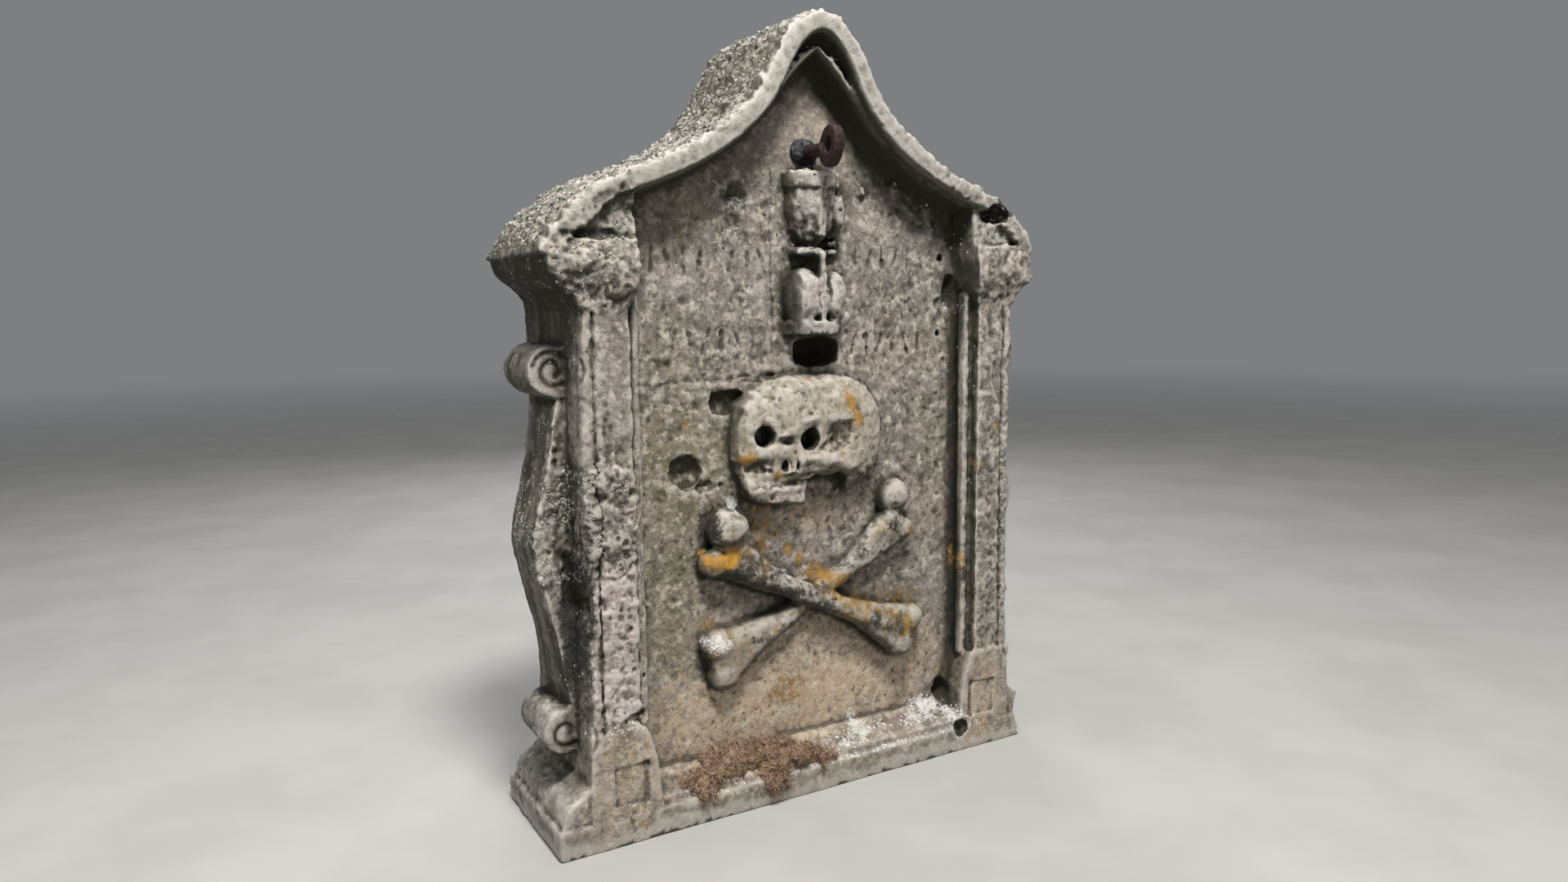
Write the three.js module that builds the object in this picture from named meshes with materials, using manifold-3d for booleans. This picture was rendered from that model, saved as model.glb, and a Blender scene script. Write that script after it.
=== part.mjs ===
// A weathered sandstone headstone: an ogee cornice on two pilasters with scroll consoles at the sides,
// and a sunk panel carved with an hourglass, a skull and crossed bones. An iron eye is leaded into the
// panel. Millimetres, +Z up. The carved front faces -Y and the origin is in the middle of the underside.
import * as THREE from "three";
import { mergeVertices } from "three/addons/utils/BufferGeometryUtils.js";
import Module from "manifold-3d";

const wasm = await Module();
wasm.setup();

// Depths, measured along Y
const FRONT = -118;
const PANEL = -70;
const BACK = 110;
const CORNICE_FRONT = -130;
const CORNICE_BACK = 127;
const BEHIND_PANEL = -50;

// Heights and half widths of the whole stone
const HEIGHT = 1200;
const SIDE = 388;
const PLINTH_HALF_WIDTH = 440;
const PLINTH_HALF_DEPTH = 121.5;
const PLINTH_TOP = 42;
const NECK = 768;
const LEDGE = 866;
const EAVES = 842;
const EAVES_HALF_WIDTH = 441;

// Cornice
const CURVE_STEPS = 8;
const ARCH_STATIONS = 13;
const ROOF_BAND = 32;
const ROOF_ROUNDING = 5;
// Each pair is how far out from the arch to the roof line a moulding point lies, and its depth.
const CORNICE_MOULDING = [
  [0.0, -70], [0.05, -72], [0.12, -79], [0.17, -92], [0.2, -103], [0.25, -110], [0.31, -113], [0.36, -109],
  [0.39, -102], [0.44, -101], [0.66, -106], [0.84, BEHIND_PANEL], [0.0, BEHIND_PANEL],
];

// Pilasters: a flat between two beads, on a pedestal with a sunk frame
const PILASTER_INNER = 312;
const PILASTER_OUTER = 364;
const INNER_BEAD = { x: 300.5, y: -94, radius: 9.5 };
const OUTER_BEAD = { x: 377, y: -107.5, radius: 10.5 };
const REVEAL = { x: 305, front: -89 };
const CORNER_CUT = -100;
const BEAD_SIDES = 12;
const PEDESTAL_TOP = 172;
const PEDESTAL_FRONT = -120.5;
const PEDESTAL_FACE = [[279, 0], [279, 45], [284, 107], [297, 158], [305, PEDESTAL_TOP], [389, PEDESTAL_TOP],
  [389, 0]];
const SUNK_FRAMES = [
  { left: 300, right: 357, bottom: 57, top: 120, depth: 5 },
  { left: 312, right: 349, bottom: 63, top: 112, depth: 11 },
];

// Scroll consoles on the sides
const CONSOLE_FRONT = -61;
const CONSOLE_BACK = 48;
const UPPER_ROLL = { x: 405, z: 684, radius: 37, turns: 1.6, twist: 0.3 };
const LOWER_ROLL = { x: 404, z: 165, radius: 34, turns: 1.2, twist: 2.2 };
const ROLL_PROUD = 3;
const CONSOLE_BELLY = [[392, 655], [406, 630], [415, 560], [431, 495], [443, 440], [431, 378], [415, 312],
  [404, 240], [392, 190]];

// Sill between the pedestals, drawn in Y and Z
const SILL_HALF_WIDTH = 290;
const SILL_PROFILE = [[-60, 0], [-119, 0], [-119, 44], [-114, 47], [-113, 54], [-100, 60], [-86, 69],
  [-76, 81], [-60, 81]];

// Skull: a squarish egg with drilled eyes, turned to the viewer's left
const SKULL = {
  x: -1, y: PANEL, z: 567, halfWidth: 139, halfDepth: 46, halfHeight: 98, squareness: 2.7, around: 24,
};
const EYES = [{ x: -93, z: 574, radius: 16.5 }, { x: -18, z: 568, radius: 16.5 }];
const EYE_FLOOR = -78;
const JAW_FACE = [[-126, 512], [-118, 481], [-98, 470], [-21, 464], [-13, 512]];
const JAW_FRONT = -102;
const UNDER_CHEEK = { left: -170, right: -14, top: 504 };
const BEHIND_JAW = { left: -14, right: 60, top: 500, radius: 19 };

// Crossed bones: a shaft and its two ends. Each end says at which part of the length it begins to flare,
// which knobs it flares into and which ball sits beyond them, as x, z, half width, half height.
const SHAFT_SPREAD = [
  [0, 0], [1.1, 0.02], [1.12, 0.12], [1.04, 0.3], [1, 0.5], [1.04, 0.7], [1.12, 0.88], [1.1, 0.98], [0, 1],
];
const FLARE_SHARE = 0.82;
const BONE_OVER = {
  y: -86, from: [-158, 387], to: [166, 232], radius: 18,
  ends: [
    { start: 0.3, knobs: [[-172, 388, 31, 24], [-135, 406, 19, 19]], balls: [[-151, 437, 35, 34]] },
    { start: 0.74, knobs: [[195, 247, 27, 25], [169, 208, 27, 28]], balls: [] },
  ],
};
const BONE_UNDER = {
  y: -77, from: [146, 386], to: [-140, 231], radius: 17,
  ends: [
    {
      start: 0.24, knobs: [[182, 398, 24, 21], [127, 402, 14, 13], [156, 424, 18, 22]],
      balls: [[162, 456, 31, 31]],
    },
    { start: 0.7, knobs: [[-167, 256, 30, 29], [-157, 211, 29, 29]], balls: [] },
  ],
};

// Hourglass: rounded plates, the upper bulb as radius and height, two lower lobes, a neck bar and posts
const PLATES = { x: 8, halfWidth: 50, front: -114, spans: [[726, 747], [948, 971]] };
const UPPER_BULB = {
  x: 6, outline: [[0, 842], [12, 842], [12, 860], [24, 872], [35, 886], [42, 908], [45, 958], [0, 958]],
};
const LOBES = [
  { x: -13, y: -82, z: 783, halfWidth: 31, halfDepth: 30, halfHeight: 46, around: 14, squareness: 2.3 },
  { x: 38, y: -82, z: 781, halfWidth: 25, halfDepth: 28, halfHeight: 44, around: 12, squareness: 2.3 },
  { x: 46, y: -76, z: 916, halfWidth: 16, halfDepth: 26, halfHeight: 36, around: 10 },
];
const NECK_BAR = { left: -30, right: 16, front: -98, bottom: 847, top: 857 };
const POSTS = [
  { x: 12, y: -103, radius: 7, bottom: 740, top: 852 },
  { x: 9, y: -103, radius: 9, bottom: 874, top: 952 },
];
const RIBS = { x: 44, y: -72, radius: 12, height: 7, heights: [849, 862, 875] };

// Losses: hollows where the stone has come away, some squarer than others
const LOSSES = [
  { x: 290, y: PANEL, z: 791, halfWidth: 15, halfDepth: 17, halfHeight: 31 },
  { x: -211, y: PANEL, z: 527, halfWidth: 28, halfDepth: 18, halfHeight: 26 },
  { x: -135, y: PANEL, z: 626, halfWidth: 33, halfDepth: 15, halfHeight: 19, squareness: 4 },
  { x: -120, y: PANEL, z: 925, halfWidth: 24, halfDepth: 15, halfHeight: 24 },
  { x: 275, y: PANEL, z: 98, halfWidth: 15, halfDepth: 18, halfHeight: 21 },
  { x: 264, y: PANEL, z: 722, halfWidth: 6, halfDepth: 14, halfHeight: 6, around: 8 },
  { x: 268, y: PANEL, z: 847, halfWidth: 6, halfDepth: 14, halfHeight: 6, around: 8 },
  { x: 20, y: PANEL, z: 699, halfWidth: 42, halfDepth: 46, halfHeight: 23, squareness: 4 },
  { x: 340, y: FRONT, z: 918, halfWidth: 29, halfDepth: 24, halfHeight: 18 },
  { x: 452, y: -140, z: 895, halfWidth: 46, halfDepth: 62, halfHeight: 48, around: 12 },
  { x: 470, y: -150, z: 848, halfWidth: 58, halfDepth: 70, halfHeight: 78, around: 12 },
  { x: 462, y: -150, z: 40, halfWidth: 66, halfDepth: 75, halfHeight: 75, around: 12 },
  { x: 284, y: -119, z: 40, halfWidth: 15, halfDepth: 14, halfHeight: 15 },
];
// Lumps left standing on the panel
const LUMPS = [
  { x: -122, y: -62, z: 916, halfWidth: 19, halfDepth: 13, halfHeight: 19, around: 10 },
  { x: 106, y: PANEL, z: 946, halfWidth: 8, halfDepth: 8, halfHeight: 8, around: 8 },
];

// Worn inscription: rows of shallow cuts that spell nothing
const STROKE_ROWS = [
  { from: -258, to: -55, z: 838 }, { from: 96, to: 250, z: 846 },
  { from: -250, to: -70, z: 722 }, { from: 92, to: 238, z: 708 },
];
const STROKE_PITCH = 26;
const STROKE_RADIUS = 3.4;
const STROKE_HEIGHTS = [34, 25, 34, 29, 21];
const STROKE_LEANS = [0.06, -0.32, 0.0, 0.24, -0.1, 0.4];

// Iron eye set in lead: a lug that leans out at the top, in the plane of Y and Z
const SHANK = { x: 2, z: 1001, radius: 10.5, end: -45, front: -128 };
const LUG = {
  x: 5, y: -140, z: 1004, halfDepth: 23, halfHeight: 32, lean: 0.33, thickness: 18, rounding: 4,
};
const LUG_HOLE = { y: -142, z: 1005, halfDepth: 8, halfHeight: 12 };
const SOCKET = { radius: 17, floor: -40 };
const LEAD_LUMP = {
  x: -2, y: PANEL, z: 1003, halfWidth: 25, halfDepth: 14, halfHeight: 20, squareness: 2.3, around: 14,
};
const GAP = 0.3;

// Finishes
const SANDSTONE = { color: "#857b6b", roughness: 0.94, metalness: 0 };
const RUSTED_IRON = { color: "#3b2a22", roughness: 0.8, metalness: 0.35 };
const DULL_LEAD = { color: "#4a5057", roughness: 0.65, metalness: 0.4 };

/** A closed geometry as a solid that can be joined and cut. */
function solidOf(geometry) {
  const bare = geometry.clone();
  bare.deleteAttribute("normal");
  bare.deleteAttribute("uv");
  const merged = mergeVertices(bare, 1e-3);
  const points = merged.attributes.position;
  const corner = (i) => new THREE.Vector3().fromBufferAttribute(points, i);
  const triangles = [];
  let volume = 0;
  for (let i = 0; i < merged.index.count; i += 3) {
    const [a, b, c] = [0, 1, 2].map((k) => merged.index.getX(i + k));
    if (a !== b && b !== c && c !== a) {
      triangles.push([a, b, c]);
      volume += corner(a).dot(corner(b).cross(corner(c)));
    }
  }
  const outward = volume < 0 ? triangles.map(([a, b, c]) => [a, c, b]) : triangles;
  return new wasm.Manifold(new wasm.Mesh({
    numProp: 3,
    vertProperties: new Float32Array(points.array),
    triVerts: new Uint32Array(outward.flat()),
  }));
}

/** A finished solid as geometry with flat faces. */
function geometryOf(solid) {
  const mesh = solid.getMesh();
  const geometry = new THREE.BufferGeometry();
  geometry.setAttribute("position", new THREE.BufferAttribute(mesh.vertProperties, 3));
  geometry.setIndex(new THREE.BufferAttribute(mesh.triVerts, 1));
  const flat = geometry.toNonIndexed();
  flat.computeVertexNormals();
  return flat;
}

// The axis that cylinders and turned shapes are made about
const UP = new THREE.Vector3(0, 1, 0);

const joined = (solids) => solids.reduce((whole, solid) => whole.add(solid));
const outlineOf = (pairs) => new THREE.Shape(pairs.map(([x, y]) => new THREE.Vector2(x, y)));

/** Pushes a front outline, drawn in X and Z, through the depth from one Y to another. */
function pushedBack(outline, front, back, rounding = 0) {
  const geometry = new THREE.ExtrudeGeometry(outline, {
    depth: back - front - 2 * rounding,
    bevelEnabled: rounding > 0,
    bevelThickness: rounding,
    bevelSize: rounding,
    bevelOffset: -rounding,
    bevelSegments: 1,
  });
  geometry.rotateX(Math.PI / 2);
  geometry.translate(0, back - rounding, 0);
  return solidOf(geometry);
}

/** Pushes a side outline, drawn in Y and Z, across the stone from one X to another. */
function pushedAcross(outline, left, right, rounding = 0) {
  const geometry = new THREE.ExtrudeGeometry(outline, {
    depth: right - left - 2 * rounding,
    bevelEnabled: rounding > 0,
    bevelThickness: rounding,
    bevelSize: rounding,
    bevelOffset: -rounding,
    bevelSegments: 2,
  });
  const axes = [new THREE.Vector3(0, 1, 0), new THREE.Vector3(0, 0, 1), new THREE.Vector3(1, 0, 0)];
  geometry.applyMatrix4(new THREE.Matrix4().makeBasis(...axes));
  geometry.translate(left + rounding, 0, 0);
  return solidOf(geometry);
}

function block(left, right, front, back, bottom, top) {
  const geometry = new THREE.BoxGeometry(right - left, back - front, top - bottom);
  geometry.translate((left + right) / 2, (front + back) / 2, (bottom + top) / 2);
  return solidOf(geometry);
}

/** An egg of three half sizes. A squareness over 2 makes its outline squarer than an ellipse. */
function egg({ x, y, z, halfWidth, halfDepth, halfHeight, squareness = 2, around = 10 }) {
  const geometry = new THREE.SphereGeometry(1, around, Math.round(around * 0.6));
  const points = geometry.attributes.position;
  for (let i = 0; i < points.count; i += 1) {
    const axes = [points.getX(i), points.getY(i), points.getZ(i)];
    const size = axes.reduce((sum, a) => sum + Math.abs(a) ** squareness, 0) ** (1 / squareness);
    points.setXYZ(i, ...axes.map((a) => a / size));
  }
  geometry.scale(halfWidth, halfDepth, halfHeight);
  geometry.translate(x, y, z);
  return solidOf(geometry);
}

/** A hollow or a boss on the face of the skull. */
const dab = (x, y, z, halfWidth, halfDepth, halfHeight) =>
  egg({ x, y, z, halfWidth, halfDepth, halfHeight, around: 8 });

/** A round or many-sided bar from one point to another, with its own radius at each end. */
function bar(from, to, radiusFrom, radiusTo, sides) {
  const along = new THREE.Vector3().subVectors(to, from);
  const geometry = new THREE.CylinderGeometry(radiusTo, radiusFrom, along.length(), sides);
  geometry.applyQuaternion(new THREE.Quaternion().setFromUnitVectors(UP, along.normalize()));
  geometry.translate(...new THREE.Vector3().addVectors(from, to).multiplyScalar(0.5).toArray());
  return solidOf(geometry);
}

const upright = (x, y, bottom, top, radius, sides) =>
  bar(new THREE.Vector3(x, y, bottom), new THREE.Vector3(x, y, top), radius, radius, sides);

const inward = (x, z, front, back, radius, sides) =>
  bar(new THREE.Vector3(x, front, z), new THREE.Vector3(x, back, z), radius, radius, sides);

/** The roof line on the right: shoulder, hollow sweep and rounded crown, from the eaves to the middle. */
function roofLine() {
  const line = new THREE.Path();
  line.moveTo(EAVES_HALF_WIDTH, EAVES);
  line.bezierCurveTo(430, 880, 372, 934, 310, 958);
  line.bezierCurveTo(225, 988, 132, 1030, 95, 1107);
  line.bezierCurveTo(78, 1142, 48, HEIGHT, 0, HEIGHT);
  return line;
}

/** The part of the roof line that the mouldings follow, and the pointed arch at their inner edge. */
function mouldingLines() {
  const outer = new THREE.Path();
  outer.moveTo(318, 955);
  outer.bezierCurveTo(230, 986, 132, 1030, 95, 1107);
  outer.bezierCurveTo(78, 1142, 48, HEIGHT, 0, HEIGHT);
  const inner = new THREE.Path();
  inner.moveTo(304, 914);
  inner.bezierCurveTo(220, 942, 125, 990, 76, 1046);
  inner.bezierCurveTo(56, 1071, 30, 1098, 0, 1130);
  return [inner.getSpacedPoints(ARCH_STATIONS), outer.getSpacedPoints(ARCH_STATIONS)];
}

/** A whole outline from its right half, which runs up from the foot to the middle of the top. */
function bothHalves(rightHalf) {
  const leftHalf = rightHalf.filter((p) => p.x > 1e-6).map((p) => new THREE.Vector2(-p.x, p.y));
  return [...rightHalf, ...leftHalf.reverse()];
}

/** Moves a line of points to its left by a distance. */
function shifted(points, distance) {
  return points.map((point, i) => {
    const before = points[Math.max(i - 1, 0)];
    const after = points[Math.min(i + 1, points.length - 1)];
    const along = new THREE.Vector2().subVectors(after, before).normalize();
    return new THREE.Vector2(point.x - along.y * distance, point.y + along.x * distance);
  });
}

/** Skins a row of rings, all with the same points, and closes both ends. */
function skinned(rings, endOutline) {
  const count = rings[0].length;
  const corners = [];
  for (let i = 0; i + 1 < rings.length; i += 1) {
    for (let k = 0; k < count; k += 1) {
      const next = (k + 1) % count;
      const [a, b, c, d] = [rings[i][k], rings[i][next], rings[i + 1][next], rings[i + 1][k]];
      corners.push(a, b, c, a, c, d);
    }
  }
  for (const [a, b, c] of THREE.ShapeUtils.triangulateShape(endOutline, [])) {
    const last = rings[rings.length - 1];
    const ends = THREE.ShapeUtils.isClockWise(endOutline) ? [c, b, a] : [a, b, c];
    corners.push(...ends.map((k) => rings[0][k]).reverse(), ...ends.map((k) => last[k]));
  }
  return solidOf(new THREE.BufferGeometry().setFromPoints(corners).setIndex(corners.map((_, i) => i)));
}

/** The main block: base mould, sides, capital sides and the roof, pushed straight through. */
function mainBlock() {
  const half = new THREE.Path();
  half.moveTo(433, 0);
  half.lineTo(433, 50);
  half.quadraticCurveTo(431, 74, 405, 84);
  half.lineTo(398, 92);
  half.lineTo(SIDE, 98);
  half.lineTo(SIDE, NECK);
  half.lineTo(391, 782);
  half.bezierCurveTo(396, 802, 430, 804, 436, 826);
  half.lineTo(EAVES_HALF_WIDTH - 4, EAVES - 4);
  const roof = shifted(roofLine().getPoints(CURVE_STEPS), ROOF_BAND / 2);
  roof[roof.length - 1].x = 0;
  return pushedBack(new THREE.Shape(bothHalves([...half.getPoints(5), ...roof])), FRONT, BACK);
}

/** The projecting band of the roof, with a rounded arris in front and behind. */
function roofBand() {
  const line = roofLine().getPoints(CURVE_STEPS);
  const under = shifted(line, ROOF_BAND);
  under[under.length - 1].x = 0;
  const outline = [...bothHalves(line), ...bothHalves(under).reverse()];
  return pushedBack(new THREE.Shape(outline), CORNICE_FRONT, CORNICE_BACK, ROOF_ROUNDING);
}

/** The sunk panel, cut out up to the groove under the roof band. */
function panelOpening() {
  const [arch, roof] = mouldingLines();
  const groove = arch.map((point, i) => point.clone().lerp(roof[i], 0.62));
  const foot = [[PILASTER_INNER, 40], [PILASTER_INNER, NECK], [299, NECK + 30], [299, 930]];
  const half = [...foot.map(([x, z]) => new THREE.Vector2(x, z)), ...groove.filter((p) => p.x < 299)];
  return pushedBack(new THREE.Shape(bothHalves(half)), CORNICE_FRONT - 10, PANEL);
}

/** The mouldings that run round the arch under the roof band. */
function archMoulding() {
  const [arch, roof] = mouldingLines();
  const half = arch.map((point, i) => CORNICE_MOULDING.map(([out, depth]) => {
    const place = point.clone().lerp(roof[i], out);
    return new THREE.Vector3(place.x, depth, place.y);
  }));
  const mirrored = half.slice(0, -1).map((ring) => ring.map((p) => new THREE.Vector3(-p.x, p.y, p.z)));
  const endOutline = CORNICE_MOULDING.map(([out, depth]) => new THREE.Vector2(out * 60, depth));
  return skinned([...half, ...mirrored.reverse()], endOutline);
}

/** A capital: its front outline, pushed back, where it meets its side outline, pushed across. */
function capital(side) {
  const face = new THREE.Path();
  face.moveTo(side * 310, NECK);
  face.lineTo(side * 309, 782);
  face.bezierCurveTo(side * 305, 802, side * 302, 806, side * 301, 826);
  face.lineTo(side * 301, LEDGE);
  face.lineTo(side * 427, LEDGE);
  face.lineTo(side * 435, 832);
  face.bezierCurveTo(side * 430, 804, side * 398, 802, side * 392, 782);
  face.lineTo(side * SIDE, NECK);
  const flank = new THREE.Path();
  flank.moveTo(FRONT, NECK);
  flank.lineTo(FRONT - 3, 782);
  flank.bezierCurveTo(FRONT - 4, 804, CORNICE_FRONT, 800, CORNICE_FRONT, 826);
  flank.lineTo(CORNICE_FRONT + 3, LEDGE);
  flank.lineTo(BACK, LEDGE);
  flank.lineTo(BACK, NECK);
  const reach = [side * 280, side * 460].sort((a, b) => a - b);
  const across = pushedAcross(new THREE.Shape(flank.getPoints(5)), ...reach);
  const back = pushedBack(new THREE.Shape(face.getPoints(5)), CORNICE_FRONT - 5, BACK);
  return back.intersect(across);
}

/** The beads and the stepped reveal of a pilaster. */
function pilasterBeads(side) {
  const reveal = [side * REVEAL.x, side * (PILASTER_INNER + 4)].sort((a, b) => a - b);
  return joined([
    block(...reveal, REVEAL.front, BEHIND_PANEL, PEDESTAL_TOP - 6, NECK + 20),
    upright(side * INNER_BEAD.x, INNER_BEAD.y, PEDESTAL_TOP - 6, NECK + 20, INNER_BEAD.radius, BEAD_SIDES),
    upright(side * OUTER_BEAD.x, OUTER_BEAD.y, PEDESTAL_TOP - 6, NECK + 10, OUTER_BEAD.radius, BEAD_SIDES),
  ]);
}

function pilasterCorner(side) {
  const [left, right] = [side * PILASTER_OUTER, side * (SIDE + 20)].sort((a, b) => a - b);
  return block(left, right, FRONT - 5, CORNER_CUT, PEDESTAL_TOP, NECK);
}

/** A pedestal that spreads to its foot, with a frame sunk in two steps. */
function pedestal(side) {
  const face = outlineOf(PEDESTAL_FACE.map(([x, z]) => [side * x, z]));
  const sunk = SUNK_FRAMES.map(({ left, right, bottom, top, depth }) => {
    const [from, to] = [side * left, side * right].sort((a, b) => a - b);
    return block(from, to, PEDESTAL_FRONT - 5, PEDESTAL_FRONT + depth, bottom, top);
  });
  return pushedBack(face, PEDESTAL_FRONT, BEHIND_PANEL).subtract(joined(sunk));
}

/** A groove that winds in from the rim of a roll. */
function spiral(side, roll) {
  const turns = [];
  for (let i = 0; i <= 16; i += 1) {
    const part = i / 16;
    const angle = roll.twist + part * roll.turns * 2 * Math.PI;
    const radius = roll.radius * (0.82 - 0.62 * part);
    const x = side * (roll.x + radius * Math.cos(angle));
    turns.push(new THREE.Vector3(x, CONSOLE_FRONT - ROLL_PROUD, roll.z + radius * Math.sin(angle)));
  }
  const section = outlineOf([[-5, -2.2], [5, -2.2], [5, 2.2], [-5, 2.2]]);
  const path = new THREE.CatmullRomCurve3(turns);
  return solidOf(new THREE.ExtrudeGeometry(section, { steps: 14, extrudePath: path }));
}

/** A scroll console: a bellied strip between two rolls. */
function scrollConsole(side) {
  const belly = new THREE.SplineCurve(CONSOLE_BELLY.map(([x, z]) => new THREE.Vector2(side * x, z)));
  const strip = new THREE.Shape([...belly.getPoints(16), new THREE.Vector2(side * 380, 190),
    new THREE.Vector2(side * 380, 655)]);
  const rolls = [UPPER_ROLL, LOWER_ROLL].map((roll) => {
    const ends = [CONSOLE_FRONT - ROLL_PROUD, CONSOLE_BACK + ROLL_PROUD];
    return inward(side * roll.x, roll.z, ...ends, roll.radius, 18).subtract(spiral(side, roll));
  });
  return pushedBack(strip, CONSOLE_FRONT, CONSOLE_BACK).add(rolls[0]).add(rolls[1]);
}

/** The skull: egg, jaw and nose, with the eyes, the cheek hollows and the gap behind the jaw cut away. */
function skull() {
  const gap = new THREE.Path();
  gap.moveTo(BEHIND_JAW.left, 430);
  gap.lineTo(BEHIND_JAW.left, BEHIND_JAW.top + 8);
  gap.absarc(BEHIND_JAW.right - BEHIND_JAW.radius, BEHIND_JAW.top - 8, BEHIND_JAW.radius, 2.2, 0, true);
  gap.lineTo(BEHIND_JAW.right + 6, 430);
  const cranium = egg(SKULL)
    .subtract(block(UNDER_CHEEK.left, UNDER_CHEEK.right, -140, PANEL, 430, UNDER_CHEEK.top))
    .subtract(pushedBack(new THREE.Shape(gap.getPoints(6)), -140, PANEL));
  const jaw = pushedBack(outlineOf(JAW_FACE), JAW_FRONT, BEHIND_PANEL, 4);
  const nose = bar(new THREE.Vector3(-50, -107, 562), new THREE.Vector3(-52, -110, 516), 5, 10, 8);
  const drilled = EYES.map(({ x, z, radius }) => inward(x, z, -140, EYE_FLOOR, radius, 18));
  const hollows = joined([
    ...drilled,
    dab(-56, -121, 568, 13, 10, 12),
    dab(-124, -107, 522, 34, 16, 14),
    dab(-62, -114, 528, 5, 10, 9),
    dab(-41, -114, 528, 5, 10, 9),
  ]);
  const teeth = [-98, -74, -48].map((x) => dab(x, JAW_FRONT, 486, 3, 5, 15));
  return cranium.add(nose).subtract(hollows).add(jaw).subtract(joined(teeth));
}

/** A bone: its shaft is turned about its own axis, and flares into the knobs at both ends. */
function bone({ y, from, to, radius, ends }) {
  const along = new THREE.Vector3(to[0] - from[0], 0, to[1] - from[1]);
  const length = along.length();
  const outline = SHAFT_SPREAD.map(([spread, part]) => new THREE.Vector2(spread * radius, part * length));
  const shaft = new THREE.LatheGeometry(outline, 12);
  shaft.applyQuaternion(new THREE.Quaternion().setFromUnitVectors(UP, along.normalize()));
  shaft.translate(from[0], y, from[1]);
  const knob = ([x, z, wide, high], share) => egg({
    x, y, z, halfWidth: share * wide, halfDepth: 0.88 * share * high, halfHeight: share * high,
  });
  const flares = ends.flatMap(({ start, knobs, balls }) => {
    const [x, z] = [0, 1].map((i) => from[i] + start * (to[i] - from[i]));
    const root = knob([x, z, radius, radius], 1);
    const flare = wasm.Manifold.hull([root, ...knobs.map((each) => knob(each, FLARE_SHARE))]);
    return [flare, ...[...knobs, ...balls].map((each) => knob(each, 1))];
  });
  return joined([solidOf(shaft), ...flares]);
}

/** The hourglass, broken as it stands. */
function hourglass() {
  const outline = UPPER_BULB.outline.map(([radius, z]) => new THREE.Vector2(radius, z));
  const bulb = new THREE.LatheGeometry(outline, 14);
  bulb.rotateX(Math.PI / 2);
  bulb.scale(1, 0.84, 1);
  bulb.translate(UPPER_BULB.x, PANEL - 2, 0);
  const plates = PLATES.spans.map(([low, high]) => {
    const disc = new THREE.CylinderGeometry(PLATES.halfWidth, PLATES.halfWidth, high - low, 18);
    disc.rotateX(Math.PI / 2);
    disc.scale(1, (PANEL - PLATES.front) / PLATES.halfWidth, 1);
    disc.translate(PLATES.x, PANEL, (low + high) / 2);
    return solidOf(disc);
  });
  const posts = POSTS.map(({ x, y, radius, bottom, top }) => upright(x, y, bottom, top, radius, 8));
  const ribs = RIBS.heights.map((z) => upright(RIBS.x, RIBS.y, z, z + RIBS.height, RIBS.radius, 8));
  const { left, right, front, bottom, top } = NECK_BAR;
  const neckBar = block(left, right, front, BEHIND_PANEL, bottom, top);
  return joined([solidOf(bulb), ...plates, ...posts, ...ribs, ...LOBES.map(egg), neckBar]);
}

/** The worn inscription: short cuts in rows, leaning by turns. */
function strokes() {
  const cuts = [];
  for (const { from, to, z } of STROKE_ROWS) {
    for (let x = from; x <= to; x += STROKE_PITCH) {
      const height = STROKE_HEIGHTS[cuts.length % STROKE_HEIGHTS.length];
      const lean = STROKE_LEANS[cuts.length % STROKE_LEANS.length] * height / 2;
      const low = new THREE.Vector3(x - lean, PANEL, z - height / 2);
      const high = new THREE.Vector3(x + lean, PANEL, z + height / 2);
      cuts.push(bar(low, high, STROKE_RADIUS, STROKE_RADIUS, 4));
    }
  }
  return joined(cuts);
}

function headstone() {
  const sides = [-1, 1];
  const [wide, deep] = [PLINTH_HALF_WIDTH, PLINTH_HALF_DEPTH];
  const plinth = block(-wide, wide, -deep, deep, 0, PLINTH_TOP);
  const sill = pushedAcross(outlineOf(SILL_PROFILE), -SILL_HALF_WIDTH, SILL_HALF_WIDTH);
  const frame = mainBlock()
    .subtract(joined(sides.map(pilasterCorner)))
    .subtract(panelOpening())
    .add(joined([plinth, sill, roofBand(), archMoulding()]))
    .add(joined(sides.flatMap((side) => [capital(side), pilasterBeads(side)])))
    .add(joined(sides.flatMap((side) => [pedestal(side), scrollConsole(side)])));
  const carving = joined([skull(), bone(BONE_OVER), bone(BONE_UNDER), hourglass(), ...LUMPS.map(egg)]);
  return frame
    .subtract(strokes())
    .subtract(joined(LOSSES.map(egg)))
    .add(carving)
    .subtract(inward(SHANK.x, SHANK.z, PANEL - 20, SOCKET.floor, SOCKET.radius, 16));
}

function leadPlug() {
  const outside = block(-60, 60, -120, PANEL - GAP, 940, 1060);
  const fill = inward(SHANK.x, SHANK.z, PANEL - 4, SOCKET.floor - GAP, SOCKET.radius - GAP, 16);
  const hole = inward(SHANK.x, SHANK.z, -120, SHANK.end + GAP, SHANK.radius + GAP, 12);
  return egg(LEAD_LUMP).intersect(outside).add(fill).subtract(hole);
}

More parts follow.
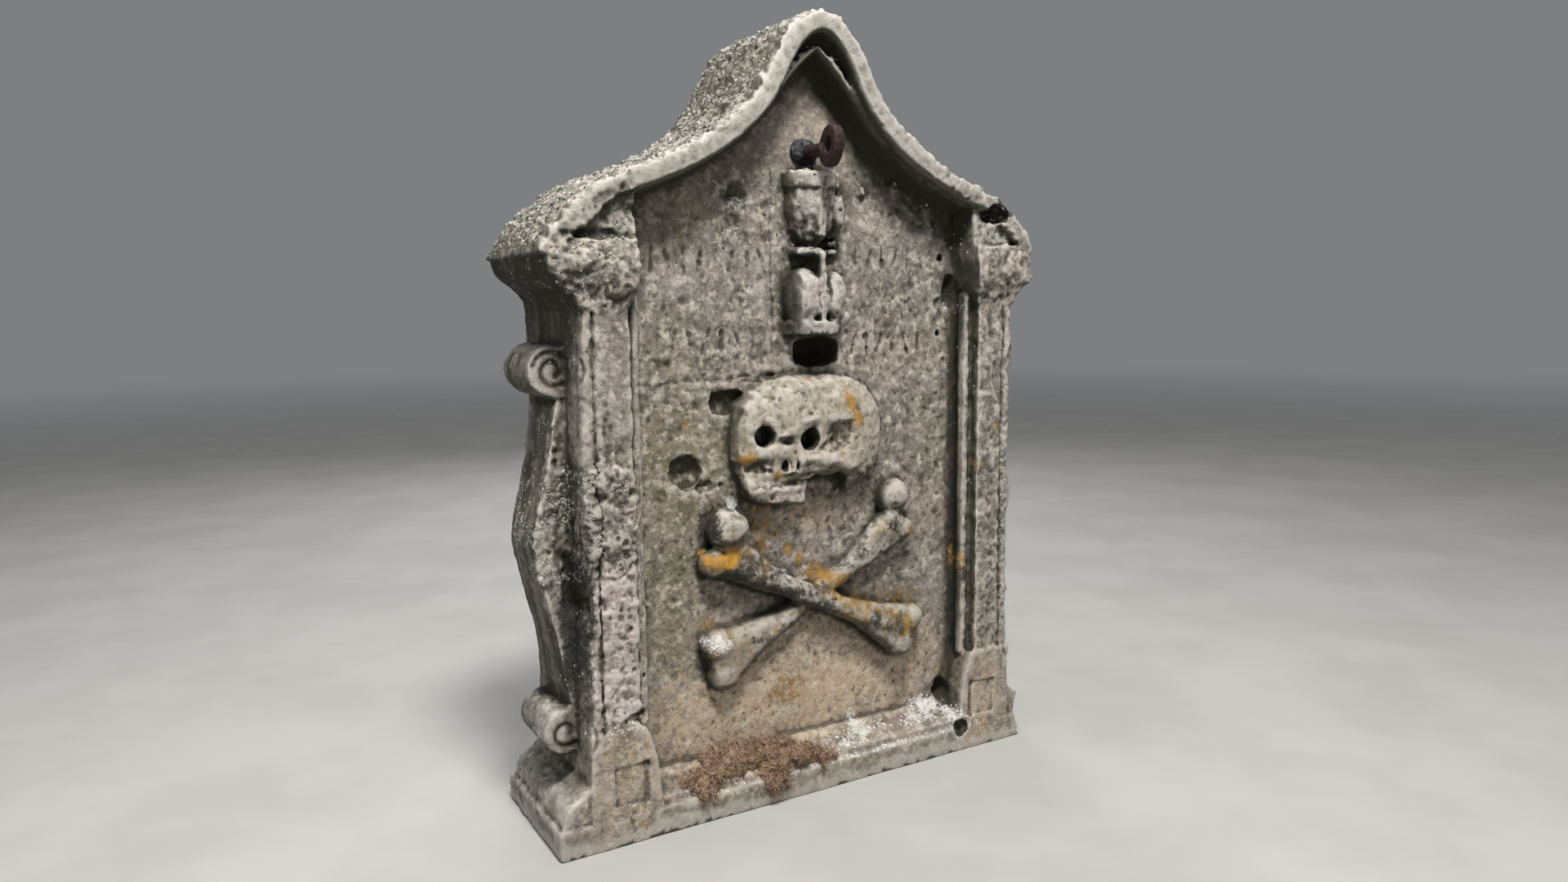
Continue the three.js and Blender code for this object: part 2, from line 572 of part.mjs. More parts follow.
function ironEye() {
  const { x, y, z, halfDepth, halfHeight, lean, thickness, rounding } = LUG;
  const face = new THREE.Shape();
  face.absellipse(y, z, halfDepth, halfHeight, 0, 2 * Math.PI, false, lean);
  const around = new THREE.Shape(face.getSpacedPoints(18).slice(0, -1));
  const eye = new THREE.Path();
  const { halfDepth: holeDepth, halfHeight: holeHeight } = LUG_HOLE;
  eye.absellipse(LUG_HOLE.y, LUG_HOLE.z, holeDepth, holeHeight, 0, 2 * Math.PI, false, lean);
  const hole = new THREE.Shape(eye.getSpacedPoints(14).slice(0, -1));
  return pushedAcross(around, x - thickness / 2, x + thickness / 2, rounding)
    .add(inward(SHANK.x, SHANK.z, SHANK.front, SHANK.end, SHANK.radius, 12))
    .subtract(pushedAcross(hole, x - 30, x + 30));
}

function piece(name, solid, finish) {
  const mesh = new THREE.Mesh(geometryOf(solid), new THREE.MeshStandardMaterial(finish));
  mesh.name = name;
  return mesh;
}

const part = new THREE.Group();
part.name = "headstone_with_iron_eye";
part.add(piece("headstone", headstone(), SANDSTONE));
part.add(piece("lead_plug", leadPlug(), DULL_LEAD));
part.add(piece("iron_eye", ironEye(), RUSTED_IRON));

export default part;
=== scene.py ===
"""A weathered sandstone headstone: the worn stone with its lichens, the dry moss on its sill, and the
iron eye in its lead. Metres, +Z up, the carved front towards -Y. The lists of places on the front are in
millimetres."""
import math

import bmesh
import bpy
import numpy as np
from mathutils import Matrix, Vector, noise
from mathutils.bvhtree import BVHTree


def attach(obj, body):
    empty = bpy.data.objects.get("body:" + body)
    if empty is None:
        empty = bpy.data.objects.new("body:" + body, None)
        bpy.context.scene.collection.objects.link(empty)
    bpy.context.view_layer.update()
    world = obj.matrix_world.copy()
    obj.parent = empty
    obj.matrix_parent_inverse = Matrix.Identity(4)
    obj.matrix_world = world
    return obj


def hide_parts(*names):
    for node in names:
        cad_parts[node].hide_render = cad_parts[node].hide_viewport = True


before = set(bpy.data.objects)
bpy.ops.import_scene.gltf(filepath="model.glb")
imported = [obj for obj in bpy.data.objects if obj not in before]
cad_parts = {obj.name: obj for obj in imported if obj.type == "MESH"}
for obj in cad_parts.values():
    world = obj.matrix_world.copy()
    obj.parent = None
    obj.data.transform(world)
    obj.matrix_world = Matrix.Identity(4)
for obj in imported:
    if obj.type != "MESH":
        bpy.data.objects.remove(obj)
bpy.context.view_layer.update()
rng = np.random.default_rng(1742)
MM = 0.001

# How finely the skins are drawn, in metres, and how many faces the stone keeps
STONE_GRAIN = 0.0027
IRON_GRAIN = 0.0011
LEAD_GRAIN = 0.0013
MOSS_GRAIN = 0.003
STONE_FACES = 192000

# How far the stone around a point is looked for, in metres, and along how many rays
SHELTER_REACH, SHELTER_RAYS = 0.13, 26
CREASE_REACH, CREASE_RAYS = 0.022, 20

# Places that parts of the stone begin or end at, in metres
FRONT_LIMIT = -0.045
CARVING_HALF_WIDTH = 0.24
CARVING_FOOT = 0.17
BONES_TOP = 0.462
SOFFIT_HALF_WIDTH = 0.31
WHITE_FLAKES_TOP = 0.3

# How many flakes and strands of each kind grow on the stone
ROOF_FLAKES = 9600
WALL_FLAKES = 2000
WHITE_FLAKES = 420
MOSS_STRANDS = 2600

# Places on the carved front: x, z, half width, half height, strength
GOLDEN_LICHEN = [
    (60, 623, 17, 21, 1), (72, 592, 13, 14, 1), (-119, 543, 13, 12, 1), (-121, 566, 9, 13, 0.7),
    (-73, 516, 9, 12, 1), (41, 540, 8, 6, 0.9), (-10, 657, 6, 4, 0.8),
    (-166, 391, 34, 15, 1.3), (-146, 403, 24, 11, 1), (-78, 426, 34, 46, 0.75), (-34, 389, 10, 9, 1),
    (-14, 373, 12, 12, 1), (18, 346, 34, 20, 0.9), (44, 332, 34, 20, 0.9), (196, 394, 10, 12, 1.1),
    (-95, 365, 20, 18, 0.7), (30, 316, 30, 15, 0.75), (85, 290, 46, 20, 0.75), (140, 255, 36, 24, 0.6),
    (184, 279, 50, 18, 0.75), (-36, 158, 46, 30, 0.75), (-70, 128, 34, 20, 0.55), (298, 330, 9, 32, 0.8),
    (359, 560, 9, 13, 0.9), (322, 500, 15, 10, 0.7), (345, 628, 7, 9, 0.6), (-208, 600, 7, 6, 0.9),
    (-221, 615, 5, 4, 0.7), (-250, 601, 7, 5, 0.6), (-186, 291, 24, 11, 0.8), (-181, 249, 8, 9, 1),
    (-318, 22, 13, 26, 0.6), (214, 560, 7, 6, 0.6), (232, 470, 12, 10, 0.5), (-196, 470, 6, 7, 0.6),
    (228, 230, 14, 12, 0.4), (355, 868, 7, 10, 0.6), (-30, 112, 60, 18, 0.4),
]
WHITE_CRUST = [
    (-175, 263, 16, 12, 1.1), (-155, 262, 8, 7, 0.9), (-135, 471, 12, 11, 1), (-46, 353, 10, 6, 1),
    (-10, 338, 10, 4, 1), (82, 86, 9, 14, 0.9), (90, 70, 20, 10, 1.1), (60, 60, 26, 10, 0.7),
    (278, 60, 22, 14, 0.9), (236, 78, 24, 13, 1.3), (225, 66, 50, 8, 0.75), (160, 70, 60, 9, 0.5),
    (286, 766, 9, 13, 0.8), (60, 42, 250, 4, 0.7), (-330, 178, 40, 14, 0.5), (180, 400, 12, 10, 0.6),
]
PINK_WASH = [
    (-340, 372, 38, 44, 1), (-336, 312, 34, 30, 0.9), (-342, 226, 38, 42, 1.1), (-378, 378, 8, 30, 0.8),
    (-378, 250, 9, 34, 0.7), (-396, 395, 20, 22, 0.9), (-372, 300, 12, 16, 0.7), (-100, 470, 60, 14, 0.5),
    (-345, 700, 34, 50, 0.4), (10, 790, 40, 44, 0.6), (-52, 486, 60, 22, 0.8), (30, 530, 50, 30, 0.4),
]
TAN_WASH = [
    (-40, 140, 260, 70, 1.0), (-120, 90, 200, 40, 0.8), (190, 170, 110, 60, 0.6), (0, 230, 200, 60, 0.6),
    (-340, 90, 60, 90, 0.5), (330, 80, 60, 90, 0.6), (0, 440, 90, 34, 0.6), (20, 1010, 60, 70, 0.4),
]
OLIVE_WASH = [
    (-216, 520, 84, 120, 1.0), (-230, 330, 70, 150, 0.8), (-236, 700, 60, 60, 0.5),
    (250, 520, 40, 160, 0.5), (-210, 900, 80, 40, 0.6), (-320, 120, 50, 50, 0.5), (-330, 30, 60, 40, 0.6),
    (220, 700, 60, 60, 0.4), (0, 24, 300, 24, 0.6),
]
BLACK_STAIN = [
    (-394, 330, 15, 66, 1.2), (-398, 255, 12, 40, 1.0), (-384, 390, 9, 40, 1.0), (-381, 345, 8, 40, 0.8),
    (-384, 440, 7, 50, 0.7), (-400, 365, 20, 14, 0.8), (354, 925, 22, 17, 1.3), (300, 308, 9, 14, 1.0),
    (-185, 500, 12, 12, 0.7), (-206, 505, 14, 10, 0.6), (-300, 183, 60, 10, 0.4), (372, 470, 9, 40, 0.55),
    (368, 640, 10, 40, 0.5), (372, 380, 12, 34, 0.6), (370, 250, 14, 40, 0.5), (-140, 366, 44, 13, 0.95),
    (-104, 352, 44, 16, 0.85), (-180, 446, 14, 28, 0.9), (-192, 232, 12, 26, 0.8), (-56, 326, 40, 14, 0.85),
    (10, 296, 36, 12, 0.75), (110, 256, 26, 14, 0.75), (150, 410, 14, 20, 0.75), (96, 372, 18, 14, 0.75),
    (190, 226, 20, 20, 0.6), (-150, 212, 16, 12, 0.6), (60, 352, 30, 12, 0.6), (-100, 256, 34, 9, 0.6),
    (-20, 640, 20, 8, 0.5), (40, 600, 8, 6, 0.5), (42, 560, 26, 15, 0.55), (-80, 640, 14, 7, 0.5),
    (282, 775, 12, 24, 0.6),
]
# Rough stone: left, right, bottom, top, strength
ROUGH_ZONES = [
    (-446, -296, 762, 872, 0.9), (-424, -300, 872, 965, 0.7), (-392, -300, 560, 770, 0.45),
    (-450, -388, 372, 640, 0.9), (-430, -388, 210, 372, 0.45),
    (-396, -302, 384, 560, 1.0), (-396, -300, 180, 384, 0.8), (300, 396, 172, 770, 0.6),
    (296, 446, 766, 960, 0.7), (-290, 290, 560, 820, 0.5), (-60, 290, 800, 980, 0.4),
    (-160, 60, 860, 960, 0.6), (-290, -60, 810, 930, 0.25), (-290, 290, 300, 560, 0.45),
    (-290, 290, 90, 300, 0.22),
    (-390, -276, 0, 176, 0.12), (276, 390, 0, 176, 0.15),
]
# Crust plates that stand up from the left pilaster: x, z, half width, half height, thickness
CRUST_PLATES = [
    (-346, 494, 34, 52, 5.0), (-350, 428, 32, 28, 4.5), (-378, 470, 9, 44, 4.0), (-352, 540, 22, 16, 3.0),
    (-336, 226, 34, 44, 2.0), (-340, 362, 34, 30, 2.2), (-318, 820, 26, 30, 3.5), (-390, 835, 34, 16, 3.5),
]
# Scars that go into the stone: x, z, half width, half height, depth
SCARS = [
    (-392, 385, 9, 34, 9.0), (-384, 352, 5, 30, 5.0), (-350, 600, 6, 40, 2.0), (-320, 186, 22, 6, 5.0),
    (268, 770, 12, 12, 4.0), (42, 574, 26, 16, 4.0), (24, 552, 16, 10, 4.0), (-14, 553, 13, 10, 2.0),
    (-330, 905, 30, 24, 4.0), (-360, 868, 40, 5, 4.0), (-200, 505, 22, 8, 4.0), (-176, 501, 14, 7, 4.0),
]
# Fine cuts: depth and half width, then the points of the line, x and z
FINE_CUTS = [
    (2.5, 3.0, (-80, 556), (-84, 520)), (3.5, 3.5, (-122, 524), (-100, 529), (-86, 521)),
    (3.0, 3.0, (-112, 498), (-86, 494), (-40, 500), (-18, 512)),
    (2.5, 3.0, (-20, 515), (18, 500), (40, 512)),
    (2.0, 2.5, (-210, 503), (-150, 502)), (2.0, 2.5, (-295, 660), (-60, 664)),
    (1.8, 2.5, (-120, 655), (-50, 657)),
    (2.2, 2.5, (-26, 930), (-20, 884), (-6, 870)), (2.2, 2.5, (10, 962), (12, 900), (6, 868)),
    (2.0, 2.5, (28, 936), (24, 890)), (2.4, 2.6, (14, 822), (14, 758)), (1.8, 2.2, (-60, 972), (-60, 700)),
    (2.0, 2.5, (-298, 560), (-300, 190)), (2.2, 3.0, (-376, 876), (-330, 872), (-302, 884)),
    (1.8, 2.5, (-330, 44), (-328, 0)),
]
# The drilled eyes, x and z, and the axis of the bone that lies over the other
EYES = [(-93, 574), (-18, 568)]
BONE_OVER = [(-158, 387), (166, 232)]
# Soft hollows and swellings of the skull's face: x, z, half width, half height, rise
FACE_RELIEF = [
    (42, 560, 32, 19, -7.0), (-8, 538, 24, 8, 5.0), (22, 530, 24, 8, 6.0), (54, 520, 22, 9, 4.0),
    (-61, 566, 14, 5, -6.0), (-62, 579, 16, 6, 3.0), (-36, 532, 6, 15, 5.0), (-56, 531, 5, 9, -7.0),
    (-103, 533, 20, 4, -5.0), (-100, 547, 22, 7, 3.0), (-95, 496, 30, 9, 4.0), (-48, 493, 34, 9, 4.0),
    (-18, 596, 24, 7, 3.0), (-94, 600, 24, 7, 2.5), (30, 596, 24, 12, 2.0),
]
# Scroll ends of the consoles: x, z, radius, turns and the angle at which the groove starts
SCROLLS = [(405, 684, 37, 1.6, 0.3), (404, 165, 34, 1.2, 2.2)]
SCROLL_CUT_DEPTH, SCROLL_CUT_WIDTH = 3.5, 2.8
# Spall on the panel whose edges are worn soft: x, z, half width
SOFT_SPALL = (-120, 922, 46)
# The worn inscription: rows of short cuts that lean by turns, as first x, last x and z
STROKE_ROWS = [(-258, -55, 838), (96, 250, 846), (-250, -70, 722), (92, 238, 708)]
STROKE_PITCH = 26
STROKE_HEIGHTS = (34, 25, 34, 29, 21)
STROKE_LEANS = (0.06, -0.32, 0.0, 0.24, -0.1, 0.4)
STROKE_DEPTH, STROKE_WIDTH = 2.4, 2.6
# Mounds of the dry clump on the sill: x, y, z, half width, half depth, half height
MOUNDS = [
    (-122, -88, 66, 72, 20, 26), (-184, -96, 58, 44, 20, 22), (-205, -112, 47, 19, 12, 14),
    (-92, -114, 38, 28, 11, 25), (-48, -103, 54, 48, 18, 20), (-2, -112, 44, 30, 12, 13),
    (-148, -80, 76, 48, 13, 16), (-76, -82, 74, 42, 14, 15), (-228, -100, 58, 20, 9, 9),
]
# The photo's view: where the camera stands, how it is turned, tilted and rolled in degrees, and its lens
CAMERA_SPOT = (-0.8849, -1.4859, 0.7723)
CAMERA_TURN, CAMERA_TILT, CAMERA_ROLL = -30.836, 7.296, -0.533
CAMERA_LENS, CAMERA_SENSOR = 24.4425, 36


# Small makers used by every piece

def placed(name, mesh):
    """A new object at the origin, whose place is in its mesh."""
    thing = bpy.data.objects.new(name, mesh)
    bpy.context.scene.collection.objects.link(thing)
    return thing


def merged_copy(node, name):
    """A copy of a solid's mesh with its loose triangles joined up."""
    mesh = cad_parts[node].data.copy()
    mesh.name = name
    mesh.materials.clear()
    bm = bmesh.new()
    bm.from_mesh(mesh)
    bmesh.ops.remove_doubles(bm, verts=bm.verts, dist=1e-5)
    bm.to_mesh(mesh)
    bm.free()
    return placed(name, mesh)


def settle(piece):
    """Makes a piece's modifiers part of its mesh."""
    ready = piece.evaluated_get(bpy.context.evaluated_depsgraph_get())
    mesh = bpy.data.meshes.new_from_object(ready)
    old = piece.data
    piece.modifiers.clear()
    piece.data = mesh
    bpy.data.meshes.remove(old)


def recast(piece, grain):
    """Draws a piece again as an even skin of small faces."""
    skin = piece.modifiers.new("skin", "REMESH")
    skin.mode = "VOXEL"
    skin.voxel_size = grain
    settle(piece)


def finished(piece, material, node=None):
    """Gives a piece its material and its place in the frame."""
    piece.data.materials.clear()
    piece.data.materials.append(material)
    piece.data.shade_smooth()
    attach(piece, "root")
    if node:
        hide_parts(node)


def soft_noise(points, size, octaves=3, seed=0):
    """Noise of about -1 to 1 whose lumps have the given size."""
    spots = points / size + np.array([17.3, 5.1, 9.7]) * (seed + 1)
    return np.array([noise.fractal(Vector(p), 1.0, 2.0, octaves) for p in spots])


def cell_noise(points, size, seed=0):
    """The distance to the nearest of many scattered spots, in spot spacings."""
    spots = points / size + np.array([3.7, 11.9, 6.3]) * (seed + 1)
    return np.array([noise.voronoi(Vector(p))[0][0] for p in spots])


def ramp(values, low, high):
    """0 below low, 1 above high, and smooth between them."""
    part = np.clip((values - low) / (high - low), 0, 1)
    return part * part * (3 - 2 * part)


class Skin:
    """The points of a piece as an array, with the edges that join them."""

    def __init__(self, piece):
        self.mesh = piece.data
        self.points = np.empty(len(self.mesh.vertices) * 3)
        self.mesh.vertices.foreach_get("co", self.points)
        self.points = self.points.reshape(-1, 3)
        edges = np.empty(len(self.mesh.edges) * 2, dtype=np.int32)
        self.mesh.edges.foreach_get("vertices", edges)
        self.ends = edges.reshape(-1, 2).T
        self.neighbours = np.maximum(np.bincount(self.ends.ravel(), minlength=len(self.points)), 1)

    def facing(self):
        """The outward direction at each point."""
        self.write()
        out = np.empty(len(self.points) * 3)
        self.mesh.vertex_normals.foreach_get("vector", out)
        return out.reshape(-1, 3)

    def averaged(self, values, times=1):
        """Values averaged with those of the neighbours, again and again."""
        a, b = self.ends
        count = len(self.points)
        for _ in range(times):
            near = np.stack([
                np.bincount(a, column[b], count) + np.bincount(b, column[a], count) for column in values.T
            ], axis=1)
            values = 0.5 * values + 0.5 * near / self.neighbours[:, None]
        return values

    def write(self):
        self.mesh.vertices.foreach_set("co", self.points.ravel())
        self.mesh.update()

    def keep(self, name, values):
        """Stores one value for each point for the materials to read."""
        layer = self.mesh.attributes.new(name, "FLOAT", "POINT")
        layer.data.foreach_set("value", values.astype(np.float32))


def painted(points, patches, ragged):
    """How far each point of the front lies inside patches with ragged edges, from 0 to about 1."""
    x, z = points[:, 0] / MM, points[:, 2] / MM
    front = points[:, 1] < FRONT_LIMIT
    cover = np.zeros(len(points))
    for px, pz, half_width, half_height, strength in patches:
        away = np.hypot((x - px) / half_width, (z - pz) / half_height) + 0.45 * ragged
        cover = np.maximum(cover, strength * np.clip(1.3 - 0.75 * away, 0, 1))
    return np.where(front, cover, 0)


def zoned(points, zones, fade=18):
    """The strength of the strongest zone that each point of the front lies in, with soft edges."""
    x, z = points[:, 0] / MM, points[:, 2] / MM
    cover = np.zeros(len(points))
    for left, right, bottom, top, strength in zones:
        inside = np.minimum.reduce([x - left, right - x, z - bottom, top - z])
        cover = np.maximum(cover, strength * np.clip(inside / fade + 0.5, 0, 1))
    return cover


def line_distance(points, line):
    """How far each point lies from a line of places on the front, in millimetres."""
    spots = points[:, [0, 2]] / MM
    nearest = np.full(len(points), 1e9)
    for start, end in zip(line, line[1:]):
        start, along = np.array(start, float), np.subtract(end, start).astype(float)
        part = np.clip(((spots - start) @ along) / (along @ along), 0, 1)
        nearest = np.minimum(nearest, np.linalg.norm(spots - start - part[:, None] * along, axis=1))
    return nearest


# The stone

def scroll_lines():
    """The grooves that wind in from the rims of the scroll ends."""
    lines = []
    for side in (-1, 1):
        for x, z, rim, turns, start in SCROLLS:
            steps = [i / 24 for i in range(25)]
            lines.append([
                (side * (x + rim * (0.82 - 0.62 * t) * math.cos(start + t * turns * 2 * math.pi)),
                 z + rim * (0.82 - 0.62 * t) * math.sin(start + t * turns * 2 * math.pi)) for t in steps
            ])
    return lines


def stroke_lines():
    """The foot and head of every cut of the inscription."""
    lines = []
    for first, last, z in STROKE_ROWS:
        for x in range(first, last + 1, STROKE_PITCH):
            half = STROKE_HEIGHTS[len(lines) % len(STROKE_HEIGHTS)] / 2
            lean = STROKE_LEANS[len(lines) % len(STROKE_LEANS)] * half
            lines.append([(x - lean, z - half), (x + lean, z + half)])
    return lines


def towards(skin, times, out):
    """How far each point lies below the average of its surroundings, along its outward direction."""
    return ((skin.averaged(skin.points, times) - skin.points) * out).sum(axis=1)


def weathered(skin):
    """Wears the arrises of the stone, swells and pits its faces, and adds crusts, scars and fine cuts."""
    start = skin.points.copy()
    skin.points = skin.averaged(skin.points, 1)
    x, y, z = start.T
    on_front = y < FRONT_LIMIT
    out = skin.facing()
    on_bones = ramp(-y, 0.078, 0.088) * (np.abs(x) < 0.25) * ramp(z, 0.17, 0.18) * ramp(-z, -0.5, -0.49)
    skin.points += out * (np.clip(towards(skin, 14, out), 0, 0.012) * on_bones)[:, None]
    spall_x, spall_z, spall_width = SOFT_SPALL
    spall = np.exp(-(np.hypot(x / MM - spall_x, z / MM - spall_z) / spall_width) ** 4) * on_front
    skin.points += (skin.averaged(skin.points, 40) - skin.points) * (0.85 * spall)[:, None]
    out = skin.facing()
    deepened = np.clip(towards(skin, 5, out), 0, 0.003) * on_front * (1 - on_bones) * (1 - spall)
    skin.points -= out * (1.1 * deepened)[:, None]
    patchy = soft_noise(skin.points, 0.06, 3, 1)
    wear = np.clip(0.5 + 1.1 * patchy, 0.0, 1.6)
    skin.points += out * (np.minimum(towards(skin, 5, out), 0) * wear)[:, None]
    out = skin.facing()

    front = np.clip(-out[:, 1] * 1.6, 0, 1)
    on_roof = ramp(out[:, 2], 0.25, 0.6) * ramp(z, 0.84, 0.87)
    rough = np.maximum(zoned(skin.points, ROUGH_ZONES) * on_front, 0.3 * ~on_front)
    rough = np.maximum(rough, on_roof)
    swell = soft_noise(skin.points, 0.13, 2, 2)
    lumps = soft_noise(skin.points, 0.03, 3, 3)
    knobs = soft_noise(skin.points, 0.012, 2, 4)
    grit = soft_noise(skin.points, 0.0065, 2, 5)
    crust = 3.0 * np.abs(soft_noise(skin.points, 0.017, 2, 9)) - 0.6
    cells = cell_noise(skin.points, 0.017, 6)
    pits = ramp(-cells, -0.34, -0.12) * ramp(soft_noise(skin.points, 0.08, 2, 7), -0.15, 0.35)
    lift = 1.7 * swell + (0.8 + 3.8 * rough) * lumps + (0.3 + 2.0 * rough) * knobs
    lift += (0.2 + 0.8 * rough) * grit + 1.5 * rough ** 2 * crust - 2.6 * pits * (0.25 + rough)
    ragged = 0.6 * knobs + 0.5 * lumps
    for px, pz, half_width, half_height, thickness in CRUST_PLATES:
        cover = painted(skin.points, [(px, pz, half_width, half_height, 1)], 1.3 * ragged)
        lift += thickness * ramp(cover, 0.30, 0.52) * front * (1 + 0.35 * knobs)
    for px, pz, half_width, half_height, depth in SCARS:
        cover = painted(skin.points, [(px, pz, half_width, half_height, 1)], ragged)
        lift -= depth * ramp(cover, 0.25, 0.8) * on_front
    wandering = skin.points + 0.006 * lumps[:, None]
    for depth, half_width, *line in FINE_CUTS:
        away = line_distance(wandering, line) + 1.2 * knobs
        lift -= depth * np.exp(-(away / half_width) ** 2) * front
    for px, pz, half_width, half_height, rise in FACE_RELIEF:
        away = np.hypot((x / MM - px) / half_width, (z / MM - pz) / half_height)
        lift += rise * np.exp(-away ** 2) * front * (y < -0.085)
    for line in scroll_lines():
        away = line_distance(skin.points, line)
        lift -= SCROLL_CUT_DEPTH * np.exp(-(away / SCROLL_CUT_WIDTH) ** 2) * front
    worn_away = ramp(soft_noise(skin.points, 0.05, 2, 8), -0.2, 0.3) * front * (y > -0.08)
    for line in stroke_lines():
        away = line_distance(skin.points, line)
        lift -= STROKE_DEPTH * np.exp(-(away / STROKE_WIDTH) ** 2) * worn_away
    lift *= 1 - 0.75 * ramp(out[:, 1], 0.5, 0.9)
    skin.points += out * (lift * MM)[:, None]

    foot = start[:, 2] < 0.001
    skin.points[foot, 2] = 0
    skin.points[:, 2] = np.maximum(skin.points[:, 2], 0)
    skin.write()


def thinned(piece, faces):
    """Takes out the faces that its shape needs least."""
    thin = piece.modifiers.new("thin", "DECIMATE")
    thin.ratio = faces / sum(len(p.vertices) - 2 for p in piece.data.polygons)
    settle(piece)


def sheltered(piece, skin, reach, rays):
    """How much of the sky each point loses to the stone around it, from 0 in the open to 1."""
    tree = BVHTree.FromObject(piece, bpy.context.evaluated_depsgraph_get())
    turn = math.pi * (3 - math.sqrt(5))
    ways = []
    for i in range(rays):
        height = 1 - 2 * (i + 0.5) / rays
        ring = math.sqrt(1 - height * height)
        ways.append(Vector((ring * math.cos(turn * i), ring * math.sin(turn * i), height)))
    out = skin.facing()
    lost = np.zeros(len(skin.points))
    for i, (spot, normal) in enumerate(zip(skin.points, out)):
        start, lean = Vector(spot + normal * 0.0015), Vector(normal)
        seen = blocked = 0.0
        for way in ways:
            weight = lean.dot(way)
            if weight > 0.05:
                weight *= 1.0 + 0.8 * max(way.z, 0)
                seen += weight
                distance = tree.ray_cast(start, way, reach)[3]
                if distance is not None:
                    blocked += weight * (1 - 0.6 * distance / reach)
        lost[i] = blocked / max(seen, 1e-6)
    return lost


def make_stone():
    """The worn stone, with the values that its material reads kept at each of its points."""
    stone = merged_copy("headstone", "worn_stone")
    recast(stone, STONE_GRAIN)
    weathered(Skin(stone))
    thinned(stone, STONE_FACES)
    skin = Skin(stone)
    out = skin.facing()
    x, y, z = skin.points.T
    ragged = soft_noise(skin.points, 0.016, 3, 11)
    # How far each point stands out of its surroundings; the material paints highlights on the ridges and
    # shade in the hollows from it.
    fine = ((skin.points - skin.averaged(skin.points, 3)) * out).sum(axis=1) / MM
    broad = ((skin.points - skin.averaged(skin.points, 14)) * out).sum(axis=1) / MM
    skin.keep("ridge", np.clip(0.7 * fine + 0.2 * broad, -2, 2))
    cornice = ramp(-y, 0.102, 0.11) * ramp(z, 0.865, 0.885)
    # Under the cornice the painted shade is made darker on the right half and lighter on the left half; it
    # is also lighter on the cornice band.
    under_cornice = ramp(z, 0.85, 0.92) * (y < -0.05) * (np.abs(x) < SOFFIT_HALF_WIDTH)
    soffit_shade = under_cornice * (1.2 * ramp(x, -0.06, 0.08) - 0.35) - 0.5 * cornice
    # The painted shade is made lighter in the eye sockets.
    eye_gap = np.minimum.reduce([np.hypot(x / MM - eye_x, z / MM - eye_z) for eye_x, eye_z in EYES])
    in_eyes = ramp(-eye_gap, -20, -13) * (y < -0.07)
    # How much sky each point loses, near and further off; the material paints shade in the hollows and
    # creases from these.
    shelter_shade = sheltered(stone, skin, SHELTER_REACH, SHELTER_RAYS)
    skin.keep("shelter_shade", shelter_shade * (1 + soffit_shade) * (1 - 0.6 * in_eyes))
    skin.keep("crease_shade", sheltered(stone, skin, CREASE_REACH, CREASE_RAYS) * (1 - 0.6 * in_eyes))
    skin.keep("cornice", cornice)
    carved = ramp(-y, 0.078, 0.086) * (np.abs(x) < CARVING_HALF_WIDTH) * (z > CARVING_FOOT)
    on_bones = z < BONES_TOP
    skin.keep("carved", carved * np.where(on_bones, 0.3, 1.0))
    along_over = ramp(-line_distance(skin.points, BONE_OVER), -36, -24)
    skin.keep("bones", carved * on_bones * (0.35 + 0.65 * along_over))
    for name, patches in (("golden", GOLDEN_LICHEN), ("white", WHITE_CRUST), ("pink", PINK_WASH),
                          ("tan", TAN_WASH), ("olive", OLIVE_WASH), ("black", BLACK_STAIN)):
        skin.keep(name, painted(skin.points, patches, ragged))
    rough = np.maximum(zoned(skin.points, ROUGH_ZONES), 0.35)
    skin.keep("rough", np.where(y < FRONT_LIMIT, rough, 0.4))
    return stone


# Materials

def paint(hex_code):
    """A colour as the eye sees it, turned to the light values that shaders use."""
    parts = [int(hex_code[i:i + 2], 16) / 255 for i in (1, 3, 5)]
    return (*[c / 12.92 if c <= 0.04045 else ((c + 0.055) / 1.055) ** 2.4 for c in parts], 1.0)


